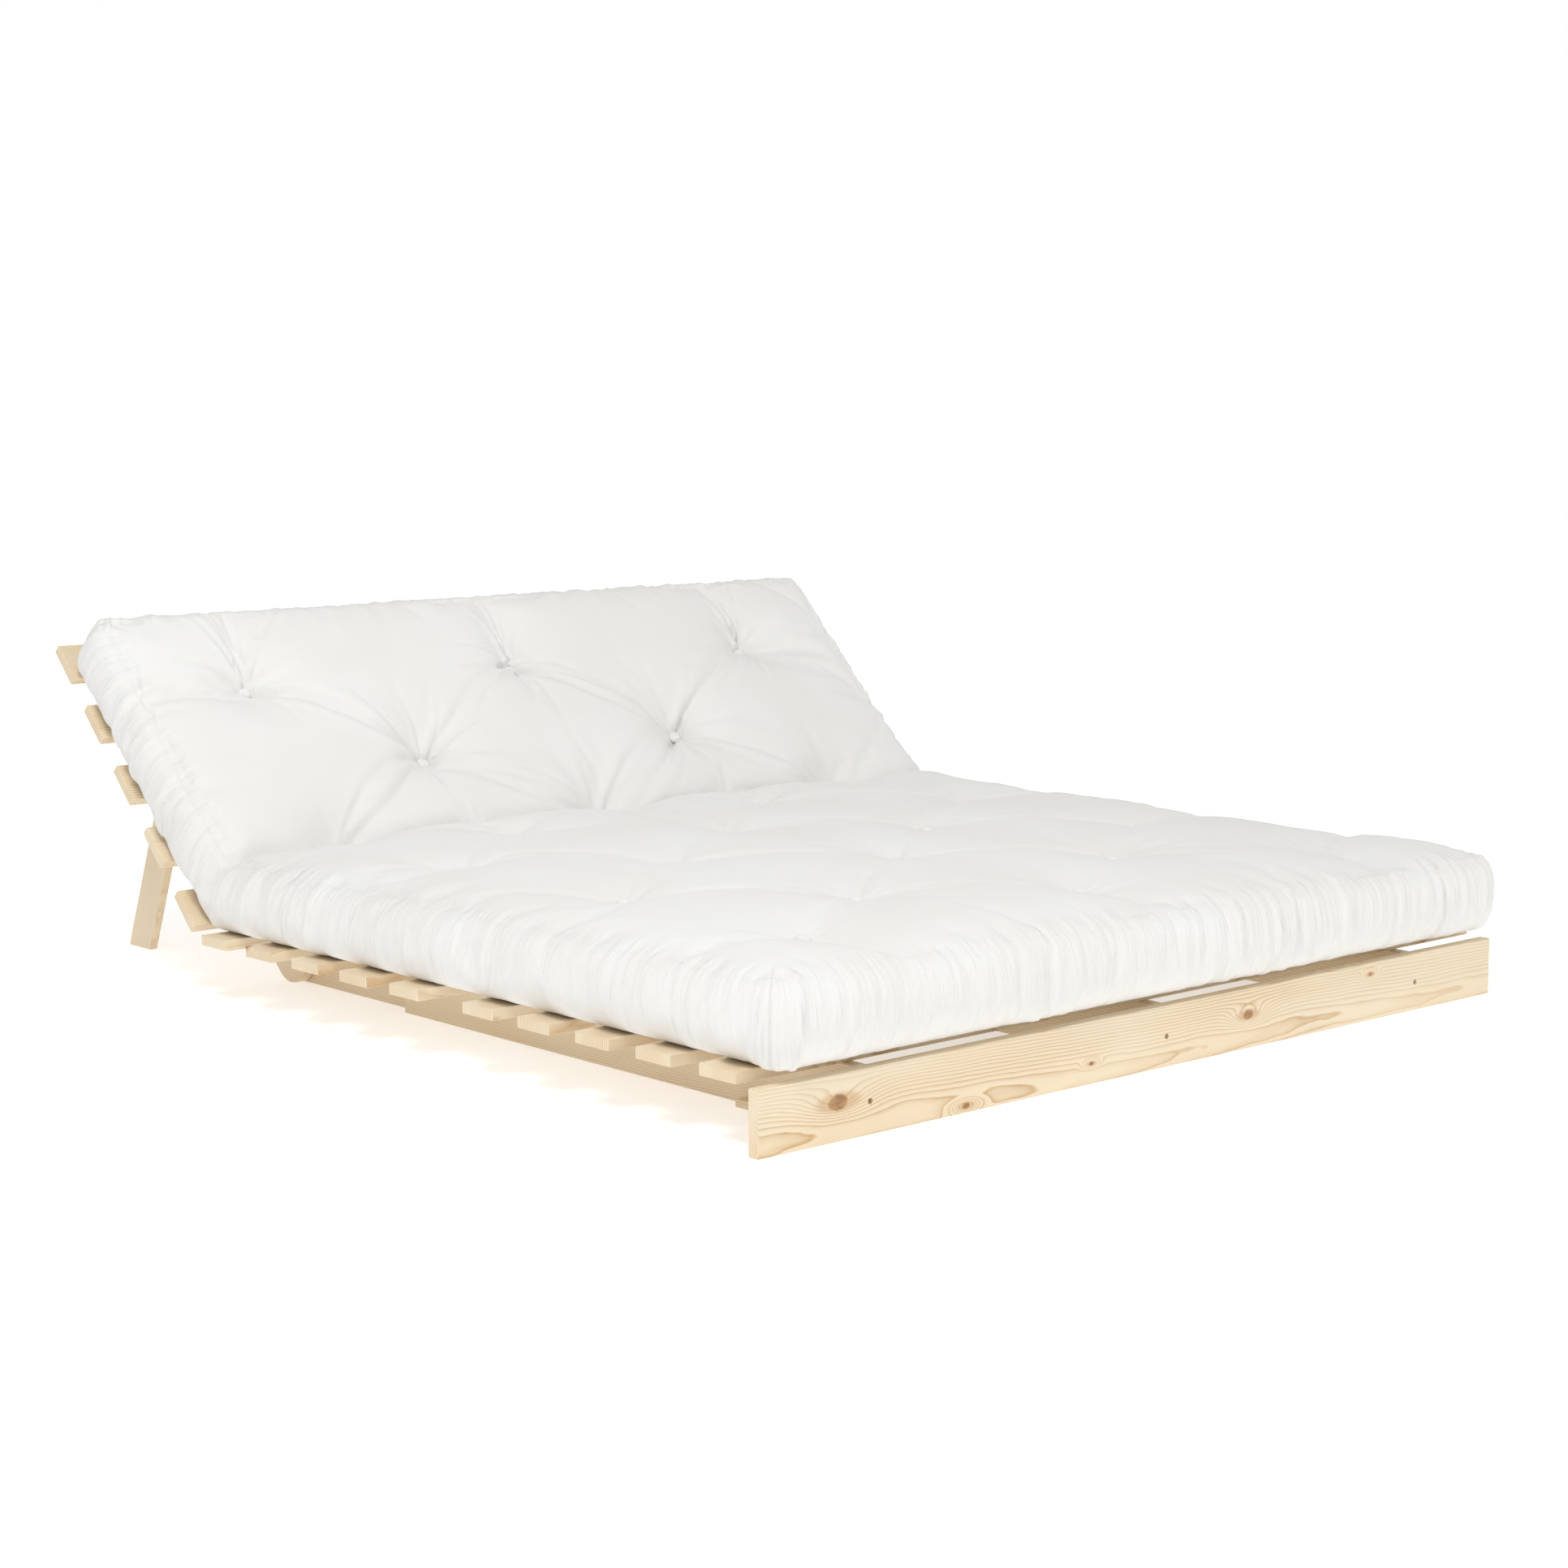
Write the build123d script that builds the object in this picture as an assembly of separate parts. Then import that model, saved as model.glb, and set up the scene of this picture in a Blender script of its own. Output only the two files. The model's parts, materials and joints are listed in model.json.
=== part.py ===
from build123d import *
from math import cos, radians, sin, tan
import os

# Futon sofa bed: three slatted sections of pine in a row, joined at two lines of pivots, under one
# folding cotton mattress. Built in the lounge position: the front and middle sections lie on the
# floor and the back section leans on two folding legs. Lengths in millimetres, angles in degrees.
# X runs along the width, Y from front to back and Z up, from the floor.

# Timber
bed_width = 1600.0
board_thickness = 20.0
rail_height = 92.0
rail_thickness = 21.0
slat_width = 73.5
slat_thickness = 17.0
slat_pitch = 131.75
slats_per_section = 5
edge_round = 1.6

# Where things lie along the depth, from the front face of the front board
front_slat_start = 45.0
front_pivot_y = 701.0
mid_slat_start = 756.0
front_rail_end = 1062.0
back_pivot_y = 1391.0
# The back section's own measures run from its pivots along its rails
back_slat_start = 42.0
leg_pivot_along = 435.0
back_angle = 45.5

# Side rails lie in from the slat ends; a thin washer keeps each pair of rails apart
side_rail_x = 599.5
pivot_gap = 1.0
rail_step = rail_thickness + pivot_gap

# Legs
leg_width = 64.0
leg_thickness = 16.0
leg_spacer = 10.0
leg_spacer_radius = 16.0
leg_lean = 21.8
slat_clearance = 0.3

# Folding to a sofa: the middle section rises, the back section drops behind it as a strut whose
# rail ends stand on the rear ends of the front rails
seat_fold_angle = 75.0
strut_angle = 70.0

# Mattress
mattress_left = -782.0
mattress_right = 806.0
mattress_front = -6.0
mattress_thickness = 140.0
mattress_back_end = 608.0
mattress_round = 28.0
mattress_fold_width = 62.0
fold_round = 8.0
mitre_clearance = 1.5

# Fasteners
running = 0.05
bolt_radius = 4.0
bolt_head_radius = 9.0
bolt_head_height = 3.2
sleeve_radius = 6.0
sleeve_depth = 15.0
washer_radius = 13.0
washer_thickness = 0.8
sleeve_gap = 0.2
head_edge_round = 1.2
key_hole_radius = 3.0
key_hole_depth = 2.0
leg_sleeve_depth = 12.0
screw_radius = 2.2
screw_head_radius = 4.2
screw_head_height = 2.8
screw_sunk = 0.4
screw_length = 42.0
board_screw_recess = 6.0
board_screw_length = 60.0
board_screw_head = 3.0

# Floor pads beside the side rails at the front
pad_height = 12.0
pad_length = 217.0
pad_width = 22.0

# Worked out from the above
pivot_z = rail_height / 2
rail_round = rail_height / 2
slat_top = rail_height + slat_thickness
back_rail_length = back_slat_start + (slats_per_section - 1) * slat_pitch + slat_width
fold_swing = seat_fold_angle + strut_angle
leg_fold_angle = 90.0 - back_angle + leg_lean
longer_than_holes = 15.0
longer_than_ends = 50.0
longer_than_depth = 1000.0
rail_sets = {"left": (-side_rail_x, 1), "middle": (0.0, 1), "right": (side_rail_x, -1)}


def tube_x(radius, x_a, x_b, y, z):
    """A round bar along X from x_a to x_b."""
    return Pos((x_a + x_b) / 2, y, z) * Rot(0, 90, 0) * Cylinder(radius, abs(x_b - x_a))


def outline_x(face, x_middle, thickness):
    """A board with the given side outline, drawn as (Y, Z), standing in the YZ plane."""
    return Pos(x_middle - thickness / 2, 0, 0) * extrude(Plane.YZ * face, amount=thickness)


def softened(board, radius):
    """The board with every edge that is long enough slightly rounded."""
    long_edges = board.edges().filter_by(lambda edge: edge.length > longer_than_holes)
    return fillet(long_edges, radius)


def slat_positions(start):
    """The near edge of each slat of a section."""
    return [start + number * slat_pitch for number in range(slats_per_section)]


def screw_down(x, y, grow=0.0):
    """A countersunk wood screw driven down through a slat into a rail."""
    top = slat_top - screw_sunk
    head = Cone(screw_radius + grow, screw_head_radius + grow, screw_head_height + grow)
    head = Pos(x, y, top - screw_head_height / 2) * head
    shank = Pos(x, y, top - screw_length / 2) * Cylinder(screw_radius + grow, screw_length + grow)
    return head + shank


def slat(y_start, rail_centres):
    """One full-width slat, with countersunk holes over the rails."""
    middle_z = rail_height + slat_thickness / 2
    board = Pos(0, y_start + slat_width / 2, middle_z) * Box(bed_width, slat_width, slat_thickness)
    board = softened(board, edge_round)
    for x in rail_centres:
        board -= screw_down(x, y_start + slat_width / 2, running)
        mouth = Cylinder(screw_head_radius + running, 2 * screw_sunk + 2 * running)
        board -= Pos(x, y_start + slat_width / 2, slat_top) * mouth
    return board


def slat_screws(start, rail_centres):
    """All the screws of one section's slats."""
    middles = [y + slat_width / 2 for y in slat_positions(start)]
    return [screw_down(x, y) for y in middles for x in rail_centres]


def drilled(rail, x, start):
    """A rail with the pilot holes of the slat screws that enter it."""
    for y in slat_positions(start):
        rail -= screw_down(x, y + slat_width / 2, running)
    return rail


def pivot_bolt(x_outer, inward, y):
    """A blind furniture bolt: flat head inside the inner rail, shank through it into a sleeve."""
    inner_face = x_outer + inward * (rail_step + rail_thickness / 2 + sleeve_gap)
    head_end = inner_face + inward * bolt_head_height
    shank_end = x_outer + inward * (rail_thickness / 2 - sleeve_depth + 3 * sleeve_gap)
    head = tube_x(bolt_head_radius, inner_face, head_end, y, pivot_z)
    head = fillet(head.edges().group_by(Axis.X)[-1 if inward > 0 else 0], head_edge_round)
    socket = extrude(Plane.YZ * RegularPolygon(key_hole_radius, 6), amount=inward * 2 * key_hole_depth)
    key_hole = Pos(head_end - inward * key_hole_depth, y, pivot_z) * socket
    shank = tube_x(bolt_radius, shank_end, inner_face, y, pivot_z)
    return head + shank - key_hole


def pivot_sleeve(x_outer, inward, y):
    """The steel sleeve that the bolt's end sits in, in the outer rail's blind hole."""
    mouth = x_outer + inward * (rail_thickness / 2 - sleeve_gap / 2)
    floor = x_outer + inward * (rail_thickness / 2 - sleeve_depth + sleeve_gap)
    sleeve = tube_x(sleeve_radius, floor, mouth, y, pivot_z)
    return sleeve - tube_x(bolt_radius + running / 2, floor, mouth, y, pivot_z)


def pivot_washer(x_outer, inward, y):
    """The thin nylon washer between two rails."""
    near = x_outer + inward * rail_step / 2 - washer_thickness / 2
    far = near + washer_thickness
    disc = tube_x(washer_radius, near, far, y, pivot_z)
    return disc - tube_x(bolt_radius + running / 2, near, far, y, pivot_z)


def sleeve_hole(x_outer, inward, y):
    """The blind hole for a sleeve in an outer rail's inner face."""
    mouth = x_outer + inward * (rail_thickness / 2 + 1)
    floor = x_outer + inward * (rail_thickness / 2 - sleeve_depth)
    return tube_x(sleeve_radius + running, floor, mouth, y, pivot_z)


def front_board():
    """The board across the front, with three recessed screws into the rail ends."""
    board = Pos(0, board_thickness / 2, rail_height / 2) * Box(bed_width, board_thickness, rail_height)
    board = softened(board, edge_round)
    for x, _ in rail_sets.values():
        board -= board_screw(x, running)
        recess = Rot(90, 0, 0) * Cylinder(screw_head_radius + running, 2 * board_screw_recess)
        board -= Pos(x, 0, pivot_z) * recess
    return board


def board_screw(x, grow=0.0):
    """A long screw driven back through the front board into a rail's end."""
    turned = Rot(90, 0, 0)
    head_middle = board_screw_recess + board_screw_head / 2
    shank_middle = board_screw_recess + board_screw_length / 2
    head = turned * Cylinder(screw_head_radius + grow, board_screw_head)
    shank = turned * Cylinder(screw_radius + grow, board_screw_length + grow)
    return Pos(x, head_middle, pivot_z) * head + Pos(x, shank_middle, pivot_z) * shank


def front_rail(x, inward):
    """A rail on edge on the floor, from the board to under the middle section's first slats."""
    length = front_rail_end - board_thickness
    rail = Pos(x, board_thickness + length / 2, pivot_z) * Box(rail_thickness, length, rail_height)
    rail = softened(rail, edge_round)
    rail -= sleeve_hole(x, inward, front_pivot_y)
    rail -= board_screw(x, running)
    return drilled(rail, x, front_slat_start)


def floor_pad(x, inward):
    """A low strip on the floor against the outside of a side rail, behind the front board."""
    x_middle = x - inward * (rail_thickness + pad_width) / 2
    pad = Box(pad_width, pad_length, pad_height)
    return softened(Pos(x_middle, board_thickness + pad_length / 2, pad_height / 2) * pad, edge_round)


def mid_rail(x, inward):
    """A rail with two round ends, one on each line of pivots."""
    middle_y = (front_pivot_y + back_pivot_y) / 2
    x_middle = x + inward * rail_step
    overall = back_pivot_y - front_pivot_y + rail_height
    side = Pos(middle_y, pivot_z) * SlotOverall(overall, rail_height)
    rail = outline_x(side, x_middle, rail_thickness)
    rail = fillet(rail.edges().filter_by(lambda edge: edge.length > longer_than_ends), edge_round)
    near, far = x_middle - rail_thickness, x_middle + rail_thickness
    for y in (front_pivot_y, back_pivot_y):
        rail -= tube_x(bolt_radius + running, near, far, y, pivot_z)
    return drilled(rail, x_middle, mid_slat_start)


def back_rail(x, inward, leg_side):
    """A rail of the back section, lying flat: round at the pivot and square at the far end."""
    side = Pos(back_pivot_y, pivot_z) * Circle(rail_round)
    side += Pos(back_pivot_y + back_rail_length / 2, pivot_z) * Rectangle(back_rail_length, rail_height)
    rail = outline_x(side, x, rail_thickness)
    rail = fillet(rail.edges().filter_by(lambda edge: edge.length > longer_than_ends), edge_round)
    rail -= sleeve_hole(x, inward, back_pivot_y)
    if leg_side:
        y = back_pivot_y + leg_pivot_along
        rail -= tube_x(bolt_radius + running, x - rail_thickness, x + rail_thickness, y, pivot_z)
    return drilled(rail, x, back_pivot_y + back_slat_start)


def leaned(shape):
    """Turns a piece of the flat back section up about its pivots to the lounge position."""
    return Pos(0, back_pivot_y, pivot_z) * Rot(back_angle, 0, 0) * Pos(0, -back_pivot_y, -pivot_z) * shape


leg_pivot_y = back_pivot_y + leg_pivot_along * cos(radians(back_angle))
leg_pivot_z = pivot_z + leg_pivot_along * sin(radians(back_angle))


def leg(x, inward):
    """A folding leg: foot cut flat on the floor, top a cam whose square corner meets a slat."""
    x_middle = x - inward * (rail_thickness / 2 + leg_spacer + leg_thickness / 2)
    reach = back_rail_length
    bar = Pos(0, -reach / 2) * Rectangle(leg_width, reach)
    cam = Circle(leg_width / 2)
    corner = Pos(leg_width / 4, leg_width) * Rectangle(leg_width / 2, 2 * leg_width)
    outline = Pos(leg_pivot_y, leg_pivot_z) * Rot(0, 0, leg_lean) * (bar + cam + corner)
    above_floor = Pos(leg_pivot_y, reach) * Rectangle(2 * reach, 2 * reach)
    slat_underside = Pos(0, rail_round - slat_clearance - reach) * Rectangle(2 * reach, 2 * reach)
    below_slats = Pos(leg_pivot_y, leg_pivot_z) * Rot(0, 0, back_angle) * slat_underside
    board = outline_x(outline & above_floor & below_slats, x_middle, leg_thickness)
    board = softened(board, edge_round)
    inner_face = x_middle + inward * leg_thickness / 2
    hole_floor = inner_face - inward * leg_sleeve_depth
    hole = tube_x(sleeve_radius + running, hole_floor, inner_face + inward, leg_pivot_y, leg_pivot_z)
    return board - hole


def leg_bolt(x, inward):
    """A leg's bolt: head inside the back rail, shank through rail and spacer into its sleeve."""
    rail_inside = x + inward * (rail_thickness / 2 + sleeve_gap)
    head_end = rail_inside + inward * bolt_head_height
    rail_outside = x - inward * rail_thickness / 2
    leg_inside = rail_outside - inward * leg_spacer
    hole_floor = leg_inside - inward * (leg_sleeve_depth - 2 * sleeve_gap)
    head = tube_x(bolt_head_radius, rail_inside, head_end, leg_pivot_y, leg_pivot_z)
    shank = tube_x(bolt_radius, hole_floor, rail_inside, leg_pivot_y, leg_pivot_z)
    sleeve = tube_x(sleeve_radius, hole_floor, leg_inside - inward * sleeve_gap, leg_pivot_y, leg_pivot_z)
    return head + shank + sleeve


def leg_spacer_tube(x, inward):
    """The wooden spacer that holds a leg clear of its rail."""
    rail_outside = x - inward * rail_thickness / 2
    near = rail_outside - inward * sleeve_gap
    far = rail_outside - inward * (leg_spacer - sleeve_gap)
    tube = tube_x(leg_spacer_radius, near, far, leg_pivot_y, leg_pivot_z)
    return tube - tube_x(bolt_radius + running / 2, near, far, leg_pivot_y, leg_pivot_z)


def mattress_part(corners, radius=mattress_round):
    """A slab of mattress between the given (Y, Z) corners, its long edges rounded."""
    middle_x = (mattress_left + mattress_right) / 2
    slab = outline_x(make_face(Polyline(*corners, close=True)), middle_x, mattress_right - mattress_left)
    return fillet(slab.edges().filter_by(lambda edge: edge.length > longer_than_depth), radius)


def mitred(pivot_y, half_angle, toward_back, top, bottom):
    """The two ends of a mitre through a pivot line, as Y at the top and at the bottom."""
    offset = mitre_clearance / cos(radians(half_angle))
    spread = [(z - pivot_z) * tan(radians(half_angle)) + offset for z in (top, bottom)]
    return [pivot_y + toward_back * distance for distance in spread]


mattress_bottom = slat_top
mattress_top = slat_top + mattress_thickness


def mattress_front_part():
    """The front third of the mattress, mitred for the fold at the front pivots."""
    far_top, far_bottom = mitred(front_pivot_y, seat_fold_angle / 2, -1, mattress_top, mattress_bottom)
    near = mattress_front
    return mattress_part([(near, mattress_bottom), (near, mattress_top), (far_top, mattress_top),
                          (far_bottom, mattress_bottom)])


def mattress_mid_part():
    """The middle of the mattress, mitred at the front pivots and at the fold strip."""
    near_top, near_bottom = mitred(front_pivot_y, seat_fold_angle / 2, 1, mattress_top, mattress_bottom)
    strip_y = back_pivot_y - mattress_fold_width
    far_top, far_bottom = mitred(strip_y, back_angle / 2, -1, mattress_top, mattress_bottom)
    return mattress_part([(near_bottom, mattress_bottom), (near_top, mattress_top),
                          (far_top, mattress_top), (far_bottom, mattress_bottom)])


def mattress_fold_part():
    """The strip of mattress in front of the crease, which travels round the back pivots."""
    far_top, far_bottom = mitred(back_pivot_y, back_angle / 2, -1, mattress_top, mattress_bottom)
    width = mattress_fold_width - 2 * mitre_clearance
    return mattress_part([(far_bottom - width, mattress_bottom), (far_top - width, mattress_top),
                          (far_top, mattress_top), (far_bottom, mattress_bottom)], fold_round)


def mattress_back_part():
    """The back of the mattress, drawn flat, mitred at the back pivots."""
    near_top, near_bottom = mitred(back_pivot_y, back_angle / 2, 1, mattress_top, mattress_bottom)
    far = back_pivot_y + mattress_back_end
    return mattress_part([(near_bottom, mattress_bottom), (near_top, mattress_top), (far, mattress_top),
                          (far, mattress_bottom)])


outer_centres = [x for x, inward in rail_sets.values()]
inner_centres = [x + inward * rail_step for x, inward in rail_sets.values()]
back_slat_y = back_pivot_y + back_slat_start

nodes = {"front_board": front_board()}
nodes["front_board_screws"] = Compound([board_screw(x) for x in outer_centres])
for side, (x, inward) in rail_sets.items():
    nodes["front_rail_" + side] = front_rail(x, inward)
    nodes["mid_rail_" + side] = mid_rail(x, inward)
    nodes["back_rail_" + side] = leaned(back_rail(x, inward, side != "middle"))
    if side != "middle":
        nodes["floor_pad_" + side] = floor_pad(x, inward)
        nodes["leg_" + side] = leg(x, inward)
        nodes["leg_bolt_" + side] = leg_bolt(x, inward)
        nodes["leg_spacer_" + side] = leg_spacer_tube(x, inward)
for number in range(slats_per_section):
    along = number * slat_pitch
    label = str(number + 1)
    nodes["front_slat_" + label] = slat(front_slat_start + along, outer_centres)
    nodes["mid_slat_" + label] = slat(mid_slat_start + along, inner_centres)
    nodes["back_slat_" + label] = leaned(slat(back_slat_y + along, outer_centres))
nodes["front_slat_screws"] = Compound(slat_screws(front_slat_start, outer_centres))
nodes["mid_slat_screws"] = Compound(slat_screws(mid_slat_start, inner_centres))
nodes["back_slat_screws"] = leaned(Compound(slat_screws(back_slat_y, outer_centres)))
for line, y in (("front", front_pivot_y), ("back", back_pivot_y)):
    sets = rail_sets.values()
    nodes[line + "_pivot_bolts"] = Compound([pivot_bolt(x, inward, y) for x, inward in sets])
    nodes[line + "_pivot_sleeves"] = Compound([pivot_sleeve(x, inward, y) for x, inward in sets])
    nodes[line + "_pivot_washers"] = Compound([pivot_washer(x, inward, y) for x, inward in sets])
nodes["mattress_front"] = mattress_front_part()
nodes["mattress_mid"] = mattress_mid_part()
nodes["mattress_fold"] = mattress_fold_part()
nodes["mattress_back"] = leaned(mattress_back_part())

# The origin is on the floor, under the middle of the whole object's box
boxes = [shape.bounding_box() for shape in nodes.values()]
front_y = min(box.min.Y for box in boxes)
rear_y = max(box.max.Y for box in boxes)
left_x = min(box.min.X for box in boxes)
right_x = max(box.max.X for box in boxes)
origin_x = (left_x + right_x) / 2
origin_y = (front_y + rear_y) / 2
os.makedirs("parts", exist_ok=True)
for name, shape in nodes.items():
    export_step(Pos(-origin_x, -origin_y, 0) * shape, "parts/" + name + ".step")
print("front pivots at", front_pivot_y - origin_y, pivot_z, "turn up", seat_fold_angle)
print("back pivots at", back_pivot_y - origin_y, pivot_z, "swing", fold_swing, "recline", back_angle)
print("leg pivots at", leg_pivot_y - origin_y, leg_pivot_z, "fold", leg_fold_angle)
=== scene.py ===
import json
import math

import bpy
import bmesh
import numpy as np
from mathutils import Euler, Matrix, Vector


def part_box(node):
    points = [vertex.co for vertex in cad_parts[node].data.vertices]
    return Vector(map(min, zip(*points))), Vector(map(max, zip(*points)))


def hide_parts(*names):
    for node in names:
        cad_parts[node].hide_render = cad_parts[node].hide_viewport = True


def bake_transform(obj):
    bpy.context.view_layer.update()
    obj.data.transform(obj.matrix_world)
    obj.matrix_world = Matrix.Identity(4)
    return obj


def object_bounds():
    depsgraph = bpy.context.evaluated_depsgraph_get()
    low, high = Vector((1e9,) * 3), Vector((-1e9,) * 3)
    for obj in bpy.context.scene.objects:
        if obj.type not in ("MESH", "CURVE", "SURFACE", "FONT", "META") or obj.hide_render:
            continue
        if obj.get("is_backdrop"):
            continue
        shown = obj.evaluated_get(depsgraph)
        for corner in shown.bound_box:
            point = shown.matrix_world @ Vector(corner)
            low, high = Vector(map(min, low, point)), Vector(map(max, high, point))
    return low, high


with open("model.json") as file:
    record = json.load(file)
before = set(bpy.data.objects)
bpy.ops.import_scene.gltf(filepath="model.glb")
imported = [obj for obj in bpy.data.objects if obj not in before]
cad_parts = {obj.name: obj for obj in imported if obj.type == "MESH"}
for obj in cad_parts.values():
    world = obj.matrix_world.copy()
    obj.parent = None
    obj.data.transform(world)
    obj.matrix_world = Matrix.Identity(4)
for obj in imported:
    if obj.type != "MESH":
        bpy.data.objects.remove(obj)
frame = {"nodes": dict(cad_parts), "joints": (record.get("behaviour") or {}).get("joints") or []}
nodes = frame["nodes"]
hinge = {joint["name"]: Vector(joint["pos_m"]) for joint in frame["joints"]}
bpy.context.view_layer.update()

# ---------------------------------------------------------------------------------------------
# Pine timber. Board, rails, slats, legs and floor pads are planed softwood under a clear matt
# lacquer: pale cream early wood, honey-coloured late wood lines that flow round small brown
# knots, and end grain that shows the rings edge on.
EARLY_WOOD = (0.880, 0.768, 0.580, 1.0)
MIDDLE_WOOD = (0.820, 0.675, 0.455, 1.0)
LATE_WOOD = (0.560, 0.330, 0.125, 1.0)
KNOT_HEART = (0.235, 0.085, 0.025, 1.0)
KNOT_RIM = (0.420, 0.190, 0.055, 1.0)


def shader_group(name, inputs, outputs):
    """An empty shader node group with the named sockets, and its input and output nodes."""
    group = bpy.data.node_groups.new(name, "ShaderNodeTree")
    for socket, kind, value in inputs:
        made = group.interface.new_socket(socket, in_out="INPUT", socket_type=kind)
        if value is not None:
            made.default_value = value
    for socket, kind in outputs:
        group.interface.new_socket(socket, in_out="OUTPUT", socket_type=kind)
    return group, group.nodes.new("NodeGroupInput"), group.nodes.new("NodeGroupOutput")


def plug_in(tree, node, sockets):
    """Sets or links each named or numbered input socket of a node."""
    for key, value in sockets.items():
        if isinstance(value, bpy.types.NodeSocket):
            tree.links.new(value, node.inputs[key])
        else:
            node.inputs[key].default_value = value
    return node


def maths(tree, operation, *values):
    """A Math node; returns its output."""
    node = tree.nodes.new("ShaderNodeMath")
    node.operation = operation
    plug_in(tree, node, dict(enumerate(values)))
    return node.outputs[0]


def vector_maths(tree, operation, *values):
    """A Vector Math node; returns its vector output, or its number for a length."""
    node = tree.nodes.new("ShaderNodeVectorMath")
    node.operation = operation
    plug_in(tree, node, dict(enumerate(values)))
    return node.outputs["Value" if operation == "LENGTH" else "Vector"]


def noise(tree, vector, scale, detail=2.0, roughness=0.5):
    """A Noise Texture; returns its number, about 0.5 in the middle."""
    node = tree.nodes.new("ShaderNodeTexNoise")
    sockets = {"Vector": vector, "Scale": scale, "Detail": detail, "Roughness": roughness}
    plug_in(tree, node, sockets)
    return node.outputs["Fac"]


def faded(tree, value, low, high, to_low=0.0, to_high=1.0):
    """A smooth step of value from low to high."""
    node = tree.nodes.new("ShaderNodeMapRange")
    node.interpolation_type = "SMOOTHSTEP"
    plug_in(tree, node, {0: value, 1: low, 2: high, 3: to_low, 4: to_high})
    return node.outputs[0]


def mixed(tree, share, first, second):
    """A Mix node on colours; returns its output."""
    node = tree.nodes.new("ShaderNodeMix")
    node.data_type = "RGBA"
    plug_in(tree, node, {"Factor": share, 6: first, 7: second})
    return node.outputs[2]


def make_knot_group():
    """One knot: how far a point lies from the knot's middle, over its size, as a mask with soft
    rim, and a bell-shaped eye that pushes the rings aside round it."""
    group, source, result = shader_group(
        "pine_knot",
        [
            ("Vector", "NodeSocketVector", None),
            ("Centre", "NodeSocketVector", (0.0, 0.0, 0.0)),
            ("Size", "NodeSocketFloat", 0.01),
        ],
        [("Mask", "NodeSocketFloat"), ("Eye", "NodeSocketFloat")],
    )
    away = vector_maths(group, "SUBTRACT", source.outputs["Vector"], source.outputs["Centre"])
    flattened = vector_maths(group, "MULTIPLY", away, (0.62, 1.0, 0.35))
    distance = vector_maths(group, "LENGTH", flattened)
    wobble = maths(group, "MULTIPLY_ADD", noise(group, away, 90.0), 0.5, 0.75)
    wobbled = maths(group, "MULTIPLY", distance, wobble)
    ratio = maths(group, "DIVIDE", wobbled, source.outputs["Size"])
    mask = faded(group, ratio, 1.15, 0.85)
    spread = vector_maths(group, "LENGTH", vector_maths(group, "MULTIPLY", away, (0.34, 1.0, 0.3)))
    wide = maths(group, "DIVIDE", spread, maths(group, "MULTIPLY", source.outputs["Size"], 2.1))
    eye = maths(group, "EXPONENT", maths(group, "MULTIPLY", maths(group, "POWER", wide, 2.0), -1.0))
    plug_in(group, result, {"Mask": mask, "Eye": eye})
    return group


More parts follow.
